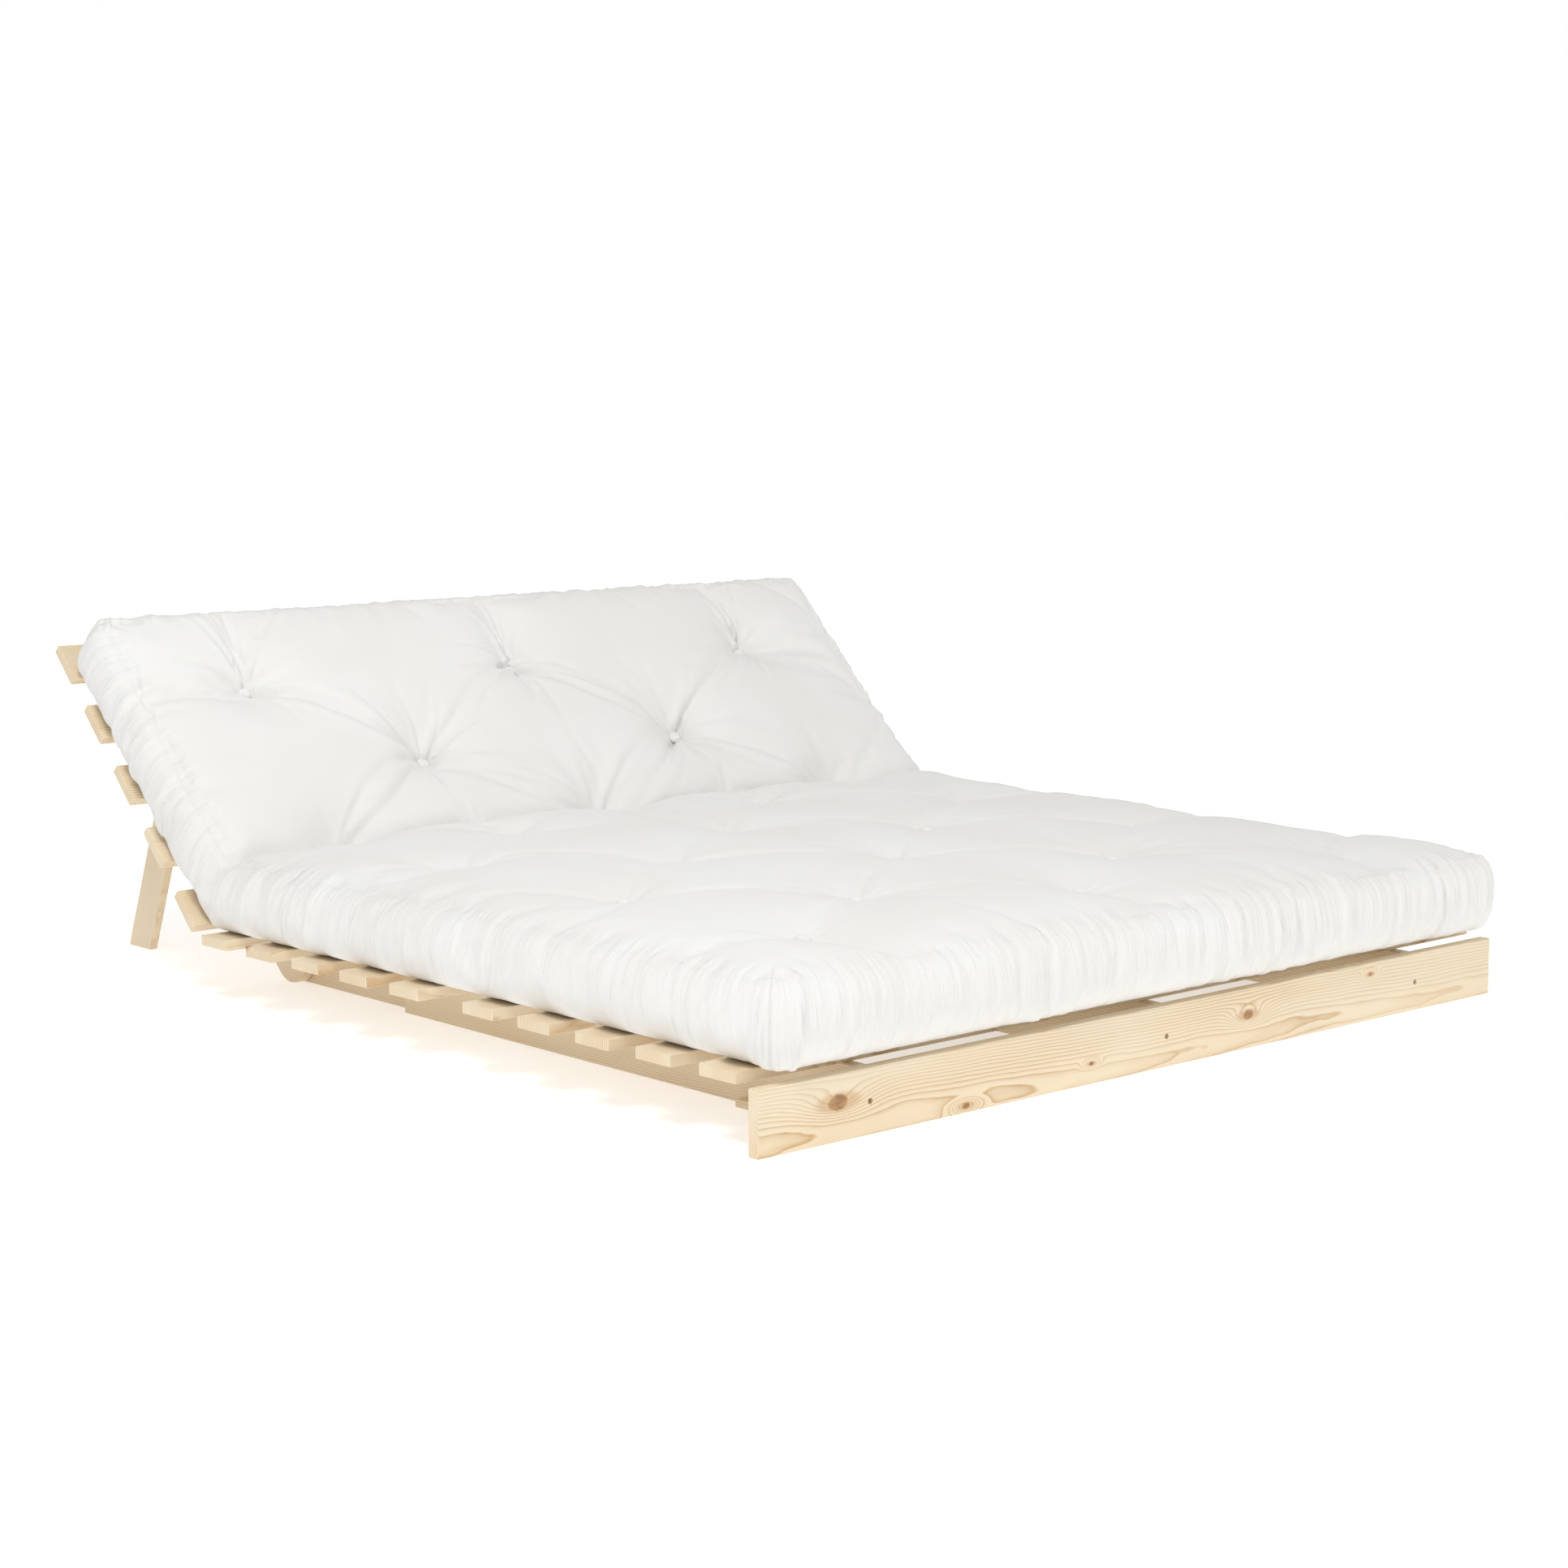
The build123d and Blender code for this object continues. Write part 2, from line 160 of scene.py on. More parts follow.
def make_grain_group():
    """Pine in board coordinates, X along the grain. Rings are the distance from a pith line that
    lies below the board and wanders, plus the knots' eyes, over the ring width; the fraction of
    that runs from early to late wood. Fine streaks and rays lie over it."""
    group, source, result = shader_group(
        "pine_grain",
        [
            ("Vector", "NodeSocketVector", None),
            ("Pith", "NodeSocketFloat", 0.07),
            ("Ring Width", "NodeSocketFloat", 0.0042),
            ("Knot Mask", "NodeSocketFloat", 0.0),
            ("Knot Eye", "NodeSocketFloat", 0.0),
        ],
        [
            ("Color", "NodeSocketColor"),
            ("Roughness", "NodeSocketFloat"),
            ("Height", "NodeSocketFloat"),
        ],
    )
    place = source.outputs["Vector"]
    # knots strewn through the wood
    cells = group.nodes.new("ShaderNodeTexVoronoi")
    cells.feature = "F1"
    stretched = vector_maths(group, "MULTIPLY", place, (3.6, 6.4, 6.4))
    plug_in(group, cells, {"Vector": stretched, "Scale": 1.0})
    far = maths(group, "MULTIPLY_ADD", noise(group, place, 70.0), 0.03, cells.outputs["Distance"])
    strewn_knot = faded(group, far, 0.078, 0.056)
    far_squared = maths(group, "POWER", far, 2.0)
    strewn_eye = maths(group, "EXPONENT", maths(group, "MULTIPLY", far_squared, -46.0))
    knot = maths(group, "MAXIMUM", strewn_knot, source.outputs["Knot Mask"])
    eye = maths(group, "MAXIMUM", strewn_eye, source.outputs["Knot Eye"])
    # rings
    long_way = vector_maths(group, "MULTIPLY", place, (0.22, 1.0, 1.0))
    wander = maths(group, "SUBTRACT", noise(group, long_way, 7.0, 1.0), 0.5)
    ripple = maths(group, "SUBTRACT", noise(group, long_way, 42.0, 2.0), 0.5)
    split = group.nodes.new("ShaderNodeSeparateXYZ")
    plug_in(group, split, {"Vector": place})
    across = maths(group, "MULTIPLY_ADD", wander, 0.034, split.outputs["Y"])
    depth = maths(group, "ADD", split.outputs["Z"], source.outputs["Pith"])
    across_squared = maths(group, "POWER", across, 2.0)
    depth_squared = maths(group, "POWER", depth, 2.0)
    radius = maths(group, "SQRT", maths(group, "ADD", across_squared, depth_squared))
    radius = maths(group, "MULTIPLY_ADD", ripple, 0.0045, radius)
    radius = maths(group, "MULTIPLY_ADD", split.outputs["X"], 0.012, radius)
    radius = maths(group, "MULTIPLY_ADD", eye, 0.021, radius)
    turns = maths(group, "DIVIDE", radius, source.outputs["Ring Width"])
    share = maths(group, "FRACT", turns)
    bright = group.nodes.new("ShaderNodeValToRGB")
    stops = bright.color_ramp.elements
    stops[0].position = 0.0
    stops[0].color = (0.10, 0.10, 0.10, 1.0)
    stops[1].position = 0.42
    stops[1].color = (0.16, 0.16, 0.16, 1.0)
    for position, level in ((0.78, 0.52), (0.90, 1.0), (0.97, 0.45)):
        stops.new(position).color = (level, level, level, 1.0)
    stops.new(1.0).color = (0.10, 0.10, 0.10, 1.0)
    plug_in(group, bright, {"Fac": share})
    contrast = faded(group, noise(group, long_way, 11.0, 2.0), 0.30, 0.70, 0.38, 0.95)
    late = maths(group, "MULTIPLY", bright.outputs["Color"], contrast)
    # streaks along the fibres
    fibres = noise(group, vector_maths(group, "MULTIPLY", place, (14.0, 620.0, 620.0)), 1.0, 3.0)
    cloudy = noise(group, vector_maths(group, "MULTIPLY", place, (2.2, 16.0, 16.0)), 1.0, 2.0)
    wood = mixed(group, faded(group, cloudy, 0.32, 0.70), EARLY_WOOD, MIDDLE_WOOD)
    wood = mixed(group, 0.45, EARLY_WOOD, wood)
    wood = mixed(group, late, wood, LATE_WOOD)
    streaked = maths(group, "MULTIPLY", faded(group, fibres, 0.42, 0.75), 0.30)
    wood = mixed(group, streaked, wood, MIDDLE_WOOD)
    ring_of_knot = maths(group, "MULTIPLY", faded(group, eye, 0.55, 0.86), 0.55)
    wood = mixed(group, ring_of_knot, wood, LATE_WOOD)
    drawn_out = vector_maths(group, "MULTIPLY", place, (60.0, 110.0, 110.0))
    heart_lines = noise(group, drawn_out, 1.0, 3.0)
    knot_wood = mixed(group, faded(group, heart_lines, 0.40, 0.62), KNOT_RIM, KNOT_HEART)
    wood = mixed(group, maths(group, "MULTIPLY", knot, 0.80), wood, knot_wood)
    roughness = maths(group, "MULTIPLY_ADD", fibres, 0.16, 0.40)
    height = maths(group, "MULTIPLY_ADD", fibres, 0.6, maths(group, "MULTIPLY", late, -0.5))
    plug_in(group, result, {"Color": wood, "Roughness": roughness, "Height": height})
    return group


knot_group = make_knot_group()
grain_group = make_grain_group()


def pine(name, turn, pivot, start, pith=0.07, ring_width=0.0042, knots=()):
    """A pine finish whose grain runs along the board. The Mapping node turns the row frame by
    turn about pivot, so that its X lies along the board, and moves it to start, which picks
    the stretch of the tree that the board was sawn from."""
    material = bpy.data.materials.new(name)
    material.use_nodes = True
    tree = material.node_tree
    shader = tree.nodes["Principled BSDF"]
    place = tree.nodes.new("ShaderNodeTexCoord").outputs["Object"]
    mapping = tree.nodes.new("ShaderNodeMapping")
    moved = Vector(start) - turn @ Vector(pivot)
    plug_in(tree, mapping, {"Vector": place, "Location": moved, "Rotation": turn.to_euler("XYZ")})
    grain = tree.nodes.new("ShaderNodeGroup")
    grain.node_tree = grain_group
    plug_in(tree, grain, {"Vector": mapping.outputs[0], "Pith": pith, "Ring Width": ring_width})
    mask = eye = None
    for centre, size in knots:
        knot = tree.nodes.new("ShaderNodeGroup")
        knot.node_tree = knot_group
        plug_in(tree, knot, {"Vector": mapping.outputs[0], "Centre": centre, "Size": size})
        if mask is None:
            mask, eye = knot.outputs["Mask"], knot.outputs["Eye"]
        else:
            mask = maths(tree, "MAXIMUM", mask, knot.outputs["Mask"])
            eye = maths(tree, "MAXIMUM", eye, knot.outputs["Eye"])
    if mask is not None:
        plug_in(tree, grain, {"Knot Mask": mask, "Knot Eye": eye})
    bump = tree.nodes.new("ShaderNodeBump")
    plug_in(tree, bump, {"Height": grain.outputs["Height"], "Strength": 0.22, "Distance": 0.0006})
    plug_in(
        tree,
        shader,
        {
            "Base Color": grain.outputs["Color"],
            "Roughness": grain.outputs["Roughness"],
            "Normal": bump.outputs["Normal"],
            "Coat Weight": 0.12,
            "Coat Roughness": 0.32,
        },
    )
    return material


def finish_with(material, *names):
    """Puts one material in every slot of the named CAD nodes."""
    for name in names:
        mesh = nodes[name].data
        mesh.materials.clear()
        mesh.materials.append(material)


# Board coordinates: X along the grain, Y across the wide face, Z through the thickness. LEAN is
# the back section's angle to the floor
LEAN = math.radians(45.5)
ALONG_WIDTH = Matrix.Identity(3)
ON_EDGE_ALONG_WIDTH = Matrix(((1, 0, 0), (0, 0, 1), (0, -1, 0)))
ON_EDGE_ALONG_DEPTH = Matrix(((0, 1, 0), (0, 0, 1), (1, 0, 0)))
LAID_BACK = Matrix.Rotation(-LEAN, 3, "X")
random_start = np.random.default_rng(41)

# ---------------------------------------------------------------------------------------------
# Front board: a full-width board on edge, flat-sawn, with flowing grain and five knots, held by
# three recessed screws. The board and every other timber piece keep their CAD shape.
board_low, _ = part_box("front_board")
# Each knot's middle, from the middle of the board's front face, and its size
BOARD_KNOTS = (
    (Vector((-0.661, 0.054, 0.0)), 0.0108),
    (Vector((0.182, 0.052, 0.0)), 0.0070),
    (Vector((-0.421, 0.010, 0.0)), 0.0045),
    (Vector((0.480, 0.074, 0.0)), 0.0032),
    (Vector((-0.166, 0.030, 0.0)), 0.0028),
)
# The stretch of the tree that the board comes from, and its pith, 42 mm from the front face
board_start = Vector((3.1, -0.018, 0.310))
board_knots = [(spot + board_start, size) for spot, size in BOARD_KNOTS]
front_pine = pine(
    "pine_front_board",
    ON_EDGE_ALONG_WIDTH,
    (0.0, board_low.y, 0.0),
    board_start,
    pith=-0.268,
    ring_width=0.0040,
    knots=board_knots,
)
finish_with(front_pine, "front_board")

# ---------------------------------------------------------------------------------------------
# Rails: nine boards on edge along the depth, three to a section, straight-grained; the back
# section's lie at its lean. The floor pads are cut from the same stock.
for side in ("left", "middle", "right"):
    for section, turn, pivot in (
        ("front", ON_EDGE_ALONG_DEPTH, (0, 0, 0)),
        ("mid", ON_EDGE_ALONG_DEPTH, (0, 0, 0)),
        ("back", ON_EDGE_ALONG_DEPTH @ LAID_BACK, hinge["back_recline"]),
    ):
        rail = f"{section}_rail_{side}"
        start = random_start.uniform(-4.0, 4.0, 3)
        depth = -start[2] + random_start.uniform(0.035, 0.075)
        finish_with(pine("pine_" + rail, turn, pivot, start, pith=depth, ring_width=0.0038), rail)
pad_pine = pine("pine_floor_pads", ON_EDGE_ALONG_DEPTH, (0, 0, 0), (1.3, 0.4, 2.2), pith=-2.15)
finish_with(pad_pine, "floor_pad_left", "floor_pad_right")

# ---------------------------------------------------------------------------------------------
# Slats: fifteen thin boards across the width, each from another part of the tree, so that no
# two show the same grain.
for section, turn, pivot in (
    ("front", ALONG_WIDTH, (0, 0, 0)),
    ("mid", ALONG_WIDTH, (0, 0, 0)),
    ("back", LAID_BACK, hinge["back_recline"]),
):
    for number in range(1, 6):
        slat = f"{section}_slat_{number}"
        start = random_start.uniform(-4.0, 4.0, 3)
        low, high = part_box(slat)
        middle = turn @ ((low + high) / 2 - Vector(pivot))
        start[1:] -= middle[1:]
        depth = -random_start.uniform(0.02, 0.08) - start[2] - middle[2]
        width = random_start.uniform(0.0034, 0.0052)
        finish_with(pine("pine_" + slat, turn, pivot, start, pith=depth, ring_width=width), slat)

# ---------------------------------------------------------------------------------------------
# Legs: two short boards that swing out from the back section's side rails on turned wooden
# spacers, with the grain along them. The direction is from the foot's middle to the pivot.
def mesh_points(mesh):
    """A mesh's vertices as an array."""
    points = np.empty(len(mesh.vertices) * 3, np.float32)
    mesh.vertices.foreach_get("co", points)
    return points.reshape(-1, 3).astype(float)


# The sole is what lies below this height
SOLE = 0.004
for side in ("left", "right"):
    leg = nodes[f"leg_{side}"]
    corners = mesh_points(leg.data)
    foot = corners[corners[:, 2] < SOLE].mean(axis=0)
    top = hinge[f"leg_{side}_fold"]
    swing = math.atan2(top.z - foot[2], top.y - foot[1])
    turn = ON_EDGE_ALONG_DEPTH @ Matrix.Rotation(-swing, 3, "X")
    start = random_start.uniform(-4.0, 4.0, 3)
    leg_pine = pine(f"pine_leg_{side}", turn, top, start, pith=0.05 - start[2], ring_width=0.0045)
    finish_with(leg_pine, leg.name, f"leg_spacer_{side}")

# ---------------------------------------------------------------------------------------------
# Hardware: zinc-plated screws, bolts and sleeves, and thin nylon washers between the rails.
def make_mottle_group():
    """Colour and gloss that drift a little: clouds of noise choose between two colours, and a
    noise six times as fine moves the roughness and gives a small height."""
    group, source, result = shader_group(
        "mottled_surface",
        [
            ("Vector", "NodeSocketVector", None),
            ("Scale", "NodeSocketFloat", 160.0),
            ("Color", "NodeSocketColor", (0.5, 0.5, 0.5, 1.0)),
            ("Darker", "NodeSocketColor", (0.4, 0.4, 0.4, 1.0)),
            ("Least Roughness", "NodeSocketFloat", 0.3),
        ],
        [
            ("Color", "NodeSocketColor"),
            ("Roughness", "NodeSocketFloat"),
            ("Height", "NodeSocketFloat"),
        ],
    )
    place = source.outputs["Vector"]
    clouds = noise(group, place, source.outputs["Scale"], 3.0)
    grains = noise(group, place, maths(group, "MULTIPLY", source.outputs["Scale"], 6.0), 2.0)
    share = faded(group, clouds, 0.35, 0.65)
    colour = mixed(group, share, source.outputs["Color"], source.outputs["Darker"])
    roughness = maths(group, "MULTIPLY_ADD", grains, 0.20, source.outputs["Least Roughness"])
    plug_in(group, result, {"Color": colour, "Roughness": roughness, "Height": grains})
    return group


mottle_group = make_mottle_group()


def plain_finish(name, colour, darker, metallic, least_roughness, scale, bump_height):
    """A metal or plastic finish, mottled between two colours."""
    material = bpy.data.materials.new(name)
    material.use_nodes = True
    tree = material.node_tree
    place = tree.nodes.new("ShaderNodeTexCoord").outputs["Object"]
    mottle = tree.nodes.new("ShaderNodeGroup")
    mottle.node_tree = mottle_group
    plug_in(
        tree,
        mottle,
        {
            "Vector": place,
            "Scale": scale,
            "Color": colour,
            "Darker": darker,
            "Least Roughness": least_roughness,
        },
    )
    height = mottle.outputs["Height"]
    bump = tree.nodes.new("ShaderNodeBump")
    plug_in(tree, bump, {"Height": height, "Strength": 0.25, "Distance": bump_height})
    plug_in(
        tree,
        tree.nodes["Principled BSDF"],
        {
            "Base Color": mottle.outputs["Color"],
            "Roughness": mottle.outputs["Roughness"],
            "Metallic": metallic,
            "Normal": bump.outputs["Normal"],
        },
    )
    return material


ZINC = (0.56, 0.56, 0.55, 1.0)
DULL_ZINC = (0.46, 0.46, 0.45, 1.0)
NYLON = (0.82, 0.82, 0.79, 1.0)
DULL_NYLON = (0.77, 0.77, 0.74, 1.0)
zinc = plain_finish("zinc_plating", ZINC, DULL_ZINC, 1.0, 0.28, 160.0, 0.0002)
nylon = plain_finish("nylon_washers", NYLON, DULL_NYLON, 0.0, 0.38, 220.0, 0.0001)
for name in nodes:
    if any(word in name for word in ("screws", "bolt", "sleeves")):
        finish_with(zinc, name)
    if "washers" in name:
        finish_with(nylon, name)

# ---------------------------------------------------------------------------------------------
# Mattress: a cotton-covered futon in one length, bent up at the crease over the back pivots. A top
# panel, a bottom panel and a border are sewn together, stuffed with cotton and foam, and tufted
# through with buttons in offset rows.

# The cover is worked out flat, bent, and puffed as cloth with the tufts held down.
# CELL is the grid's spacing. The cover is 6 mm wider at the right than its CAD stand-in
CELL = 0.010
front_low, front_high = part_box("mattress_front")
left_x, right_x = front_low.x, front_high.x + 0.006
front_y, under_z = front_low.y, front_low.z
crease = hinge["back_recline"]
UNDER_RISE = under_z - crease.z
THICK = 0.140
BACK_LENGTH = 0.608
HALF_LEAN = LEAN / 2
# How far the mitre plane leans forward at the top
TOP_MITRE = (UNDER_RISE + THICK) * math.tan(HALF_LEAN)
columns = int(round((right_x - left_x) / CELL)) + 1
cell_x = (right_x - left_x) / (columns - 1)
crease_row = int(round((crease.y - TOP_MITRE - front_y) / CELL))
back_rows = int(round((BACK_LENGTH - TOP_MITRE) / CELL))
last_row = crease_row + back_rows
rows = last_row + 1

# Heights above the underside and insets of the border's rings, from the top seam down
RING_HEIGHT = np.array(
    [0.121, 0.113, 0.102, 0.090, 0.078, 0.066, 0.054, 0.043, 0.032, 0.022, 0.013, 0.006, 0.001]
)
RING_INSET = np.array(
    [0.014, 0.004, -0.002, -0.005, -0.006, -0.006, -0.006, -0.005, -0.003, 0.001]
    + [0.007, 0.016, 0.030]
)
CORNER_ROUND = 0.042
# How many cells take up the inset
SQUEEZED_CELLS = 14.0
# The back part has slipped a little to the left on its slats
BACK_SLIP = 0.014
SLIP_ROWS = 16.0
# In front of the first slat nothing holds the underside up
FRONT_SAG = 0.011
SAG_ROWS = 6.0


def laid_out(column, row, inset):
    """Column and row numbers with the outline moved inwards: the inset fades to nothing over
    the first cells, and square corners are drawn round by the ellipse map of a square."""
    to_left = np.clip(1 - column / SQUEEZED_CELLS, 0, 1)
    to_right = np.clip(1 - (columns - 1 - column) / SQUEEZED_CELLS, 0, 1)
    to_front = np.clip(1 - row / SQUEEZED_CELLS, 0, 1)
    to_back = np.clip(1 - (last_row - row) / SQUEEZED_CELLS, 0, 1)
    column = column + inset / cell_x * (to_left - to_right)
    row = row + inset / CELL * (to_front - to_back)
    reach = CORNER_ROUND / CELL
    across = np.clip(reach - column, 0, reach) - np.clip(reach - (columns - 1 - column), 0, reach)
    along = np.clip(reach - row, 0, reach) - np.clip(reach - (last_row - row), 0, reach)
    shrink_across = across * (1 - np.sqrt(np.clip(1 - (along / reach) ** 2 / 2, 0, 1)))
    shrink_along = along * (1 - np.sqrt(np.clip(1 - (across / reach) ** 2 / 2, 0, 1)))
    return column + shrink_across, row + shrink_along


def bent(column, row, height):
    """Where a point of the flat cover lies. In front of the crease the rows are shared out from
    the front face to the mitre plane, which halves the angle between the sections; behind it
    from the mitre plane to the far end, turned up about the back pivots."""
    rise = UNDER_RISE + height
    mitre = rise * math.tan(HALF_LEAN)
    share = row / crease_row
    seat_y = front_y + share * (crease.y - mitre - front_y)
    back_share = (row - crease_row) / back_rows
    along = mitre + back_share * (BACK_LENGTH - mitre)
    back_y = crease.y + along * math.cos(LEAN) - rise * math.sin(LEAN)
    back_z = crease.z + along * math.sin(LEAN) + rise * math.cos(LEAN)
    on_seat = row <= crease_row
    y = np.where(on_seat, seat_y, back_y)
    z = np.where(on_seat, crease.z + rise, back_z)
    z = z - FRONT_SAG * np.clip(1 - row / SAG_ROWS, 0, 1) * (1 - height / THICK)
    slipped = BACK_SLIP * np.clip((row - crease_row) / SLIP_ROWS, 0, 1)
    return np.stack([left_x + column * cell_x - slipped, y, z], axis=-1)


# Tufts: three and two to a row by turns, with buttons; (x from the middle, distance along the
# top from the front edge, depth that the button is pulled in)
THREES = (-0.558, 0.002, 0.557)
TWOS = (-0.283, 0.282)
crease_at = crease_row * CELL
tufts = []
for along, places, sunk in (
    (0.185, THREES, 0.011),
    (0.371, TWOS, 0.012),
    (0.576, THREES, 0.012),
    (0.791, TWOS, 0.013),
    (0.981, THREES, 0.014),
    (1.206, TWOS, 0.016),
    (crease_at, THREES, 0.034),
    (crease_at + 0.168, TWOS, 0.044),
    (crease_at + 0.349, THREES, 0.044),
):
    tufts += [(x, along, sunk) for x in places]
tufts = np.array(tufts)
tuft_columns = np.round((tufts[:, 0] - left_x) / cell_x).astype(int)
tuft_rows = np.round(tufts[:, 1] / CELL).astype(int)

grid_row, grid_column = np.mgrid[0:rows, 0:columns].astype(float)
# The top panel rises from the seam to its crown, and drops at the tufts, in dimples that are
# wider where they are deeper, and along the crease, less so half way between the tufts
CROWN = 0.127
CROWN_REACH = 0.030
CREASE_DEPTH = 0.018
CREASE_REACH = 0.018
SCALLOP_DEPTH = 0.006
SCALLOP_WIDTH = 0.2785
edge_away = np.minimum(
    np.minimum(grid_column, columns - 1 - grid_column) * cell_x,
    np.minimum(grid_row, last_row - grid_row) * CELL,
)
rise_from_seam = 1 - np.exp(-edge_away / CROWN_REACH)
top_height = RING_HEIGHT[0] + (CROWN - RING_HEIGHT[0]) * rise_from_seam
for (x, along, sunk), column, row in zip(tufts, tuft_columns, tuft_rows):
    away = np.hypot((grid_column - column) * cell_x, (grid_row - row) * CELL)
    top_height -= sunk * 0.8 * np.exp(-away / (0.016 + 0.35 * sunk))
crease_fold = np.exp(-(((grid_row - crease_row) * CELL / CREASE_REACH) ** 2))
from_middle_tuft = grid_column * cell_x + left_x - THREES[1]
scallop = 0.5 - 0.5 * np.cos(2 * math.pi * from_middle_tuft / SCALLOP_WIDTH)
top_height -= crease_fold * (CREASE_DEPTH - SCALLOP_DEPTH * scallop)

# Numbers of the cover's vertices: the top grid, a ring for each level of the border, and the
# grid underneath. A loop goes once round the outline
loop_column = np.concatenate(
    [
        np.arange(columns - 1),
        np.full(rows - 1, columns - 1),
        np.arange(columns - 1, 0, -1),
        np.zeros(rows - 1, int),
    ]
)
loop_row = np.concatenate(
    [
        np.zeros(columns - 1, int),
        np.arange(rows - 1),
        np.full(columns - 1, last_row),
        np.arange(last_row, 0, -1),
    ]
)
levels = len(RING_HEIGHT) - 1
loop_length = len(loop_column)
grid_size = rows * columns
top_index = np.arange(grid_size).reshape(rows, columns)
ring_index = [top_index[loop_row, loop_column]]
for level in range(1, levels):
    ring_index.append(grid_size + (level - 1) * loop_length + np.arange(loop_length))
bottom_index = grid_size + (levels - 1) * loop_length + top_index
ring_index.append(bottom_index[loop_row, loop_column])

ring_column = loop_column.astype(float)
ring_row = loop_row.astype(float)
column_parts = [grid_column.ravel()] + [ring_column] * (levels - 1) + [grid_column.ravel()]
row_parts = [grid_row.ravel()] + [ring_row] * (levels - 1) + [grid_row.ravel()]
flat_parts = []
cover_parts = []
for level, (part_column, part_row) in enumerate(zip(column_parts, row_parts)):
    height = top_height.ravel() if level == 0 else np.full_like(part_row, RING_HEIGHT[level])
    flat_parts.append(np.stack([part_column, part_row, np.full_like(part_row, level)], -1))
    cover_parts.append(bent(*laid_out(part_column, part_row, RING_INSET[level]), height))
flat_cover = np.concatenate(flat_parts)
cover = np.concatenate(cover_parts)


def quads(index):
    """The four-cornered faces of a grid of vertex numbers, anticlockwise from above."""
    corners = [index[:-1, :-1], index[:-1, 1:], index[1:, 1:], index[1:, :-1]]
    return np.stack(corners, -1).reshape(-1, 4)


border = np.stack([np.append(ring, ring[0]) for ring in ring_index[::-1]])
cover_faces = np.concatenate([quads(top_index), quads(border), quads(bottom_index)[:, ::-1]])


def new_mesh(name, points, faces):
    """A mesh from arrays of points and of faces of one size."""
    mesh = bpy.data.meshes.new(name)
    mesh.from_pydata(points.tolist(), [], faces.tolist())
    mesh.update()
    return mesh


def puffed(points, faces, held, stitched, ease, frames, most):
    """The cover blown up as cloth from within, with the held vertices fixed and the stitched
    ones stiffly sprung. The cloth is cut a little large, so it gathers into folds towards the
    tufts. The movement is eased where the filling is firm, and no point moves further than
    most, by a soft limit."""
    simulated = bpy.data.objects.new("mattress_cloth", new_mesh("mattress_cloth", points, faces))
    bpy.context.scene.collection.objects.link(simulated)
    group = simulated.vertex_groups.new(name="held")
    group.add(stitched.tolist(), 0.55, "REPLACE")
    group.add(held.tolist(), 1.0, "REPLACE")
    cloth = simulated.modifiers.new("cloth", "CLOTH")
    settings = cloth.settings
    settings.quality = 6
    settings.mass = 0.25
    settings.tension_stiffness = 14.0
    settings.compression_stiffness = 14.0
    settings.shear_stiffness = 3.0
    settings.bending_stiffness = 0.04
    settings.air_damping = 2.0
    settings.use_pressure = True
    settings.uniform_pressure_force = 3.0
    settings.shrink_min = -0.055
    settings.vertex_group_mass = "held"
    settings.effector_weights.gravity = 0.0
    for number in range(1, frames + 1):
        bpy.context.scene.frame_set(number)
    evaluated = simulated.evaluated_get(bpy.context.evaluated_depsgraph_get())
    moved = mesh_points(evaluated.to_mesh())
    evaluated.to_mesh_clear()
    bpy.context.scene.frame_set(1)
    bpy.data.objects.remove(simulated)
    shift = (moved - points) * ease[:, None]
    length = np.linalg.norm(shift, axis=1, keepdims=True) + 1e-9
    return points + shift / length * most * np.tanh(length / most)


# The seat's filling is firmer than the back's; the ease changes over the rows before the crease
SEAT_EASE = 0.62
EASE_ROWS = 16
tuft_index = top_index[tuft_rows, tuft_columns]
held = np.concatenate([bottom_index.ravel(), ring_index[-2], tuft_index])
stitched = np.concatenate([ring_index[0], ring_index[1]])
on_back_part = np.clip((flat_cover[:, 1] - crease_row + EASE_ROWS) / EASE_ROWS, 0, 1)
ease = SEAT_EASE + (1 - SEAT_EASE) * on_back_part
cover = puffed(cover, cover_faces, held, stitched, ease, frames=20, most=0.026)


def subdivided(points):
    """The cover's faces divided once by the Subdivision Surface rule; returns points and faces."""
    whole = bpy.data.objects.new("mattress_whole", new_mesh("mattress_whole", points, cover_faces))
    bpy.context.scene.collection.objects.link(whole)
    modifier = whole.modifiers.new("smooth", "SUBSURF")
    modifier.levels = 1
    modifier.render_levels = 1
    modifier.boundary_smooth = "PRESERVE_CORNERS"
    evaluated = whole.evaluated_get(bpy.context.evaluated_depsgraph_get())
    mesh = evaluated.to_mesh()
    fine = mesh_points(mesh)
    faces = np.empty(len(mesh.loops), np.int32)
    mesh.loops.foreach_get("vertex_index", faces)
    evaluated.to_mesh_clear()
    bpy.data.objects.remove(whole)
    return fine, faces.reshape(-1, 4)


fine_cover, fine_faces = subdivided(cover)
fine_flat, _ = subdivided(flat_cover)


def outward(points, faces):
    """Unit normals at the vertices: the sum of the crossed diagonals of the faces round each."""
    corner = points[faces]
    face_normal = np.cross(corner[:, 2] - corner[:, 0], corner[:, 3] - corner[:, 1])
    total = np.zeros_like(points)
    for place in range(4):
        np.add.at(total, faces[:, place], face_normal)
    return total / (np.linalg.norm(total, axis=1, keepdims=True) + 1e-12)


# The folds that a sewn cover takes, laid over the puffed form along its normals. Flat measures:
# across from the middle of the bed, along from the front edge, level down the border
flat_x = left_x + fine_flat[:, 0] * cell_x
flat_s = fine_flat[:, 1] * CELL
flat_level = fine_flat[:, 2]
on_panel = flat_level < 1.5
drape = np.random.default_rng(7)
fold = np.zeros(len(fine_flat))


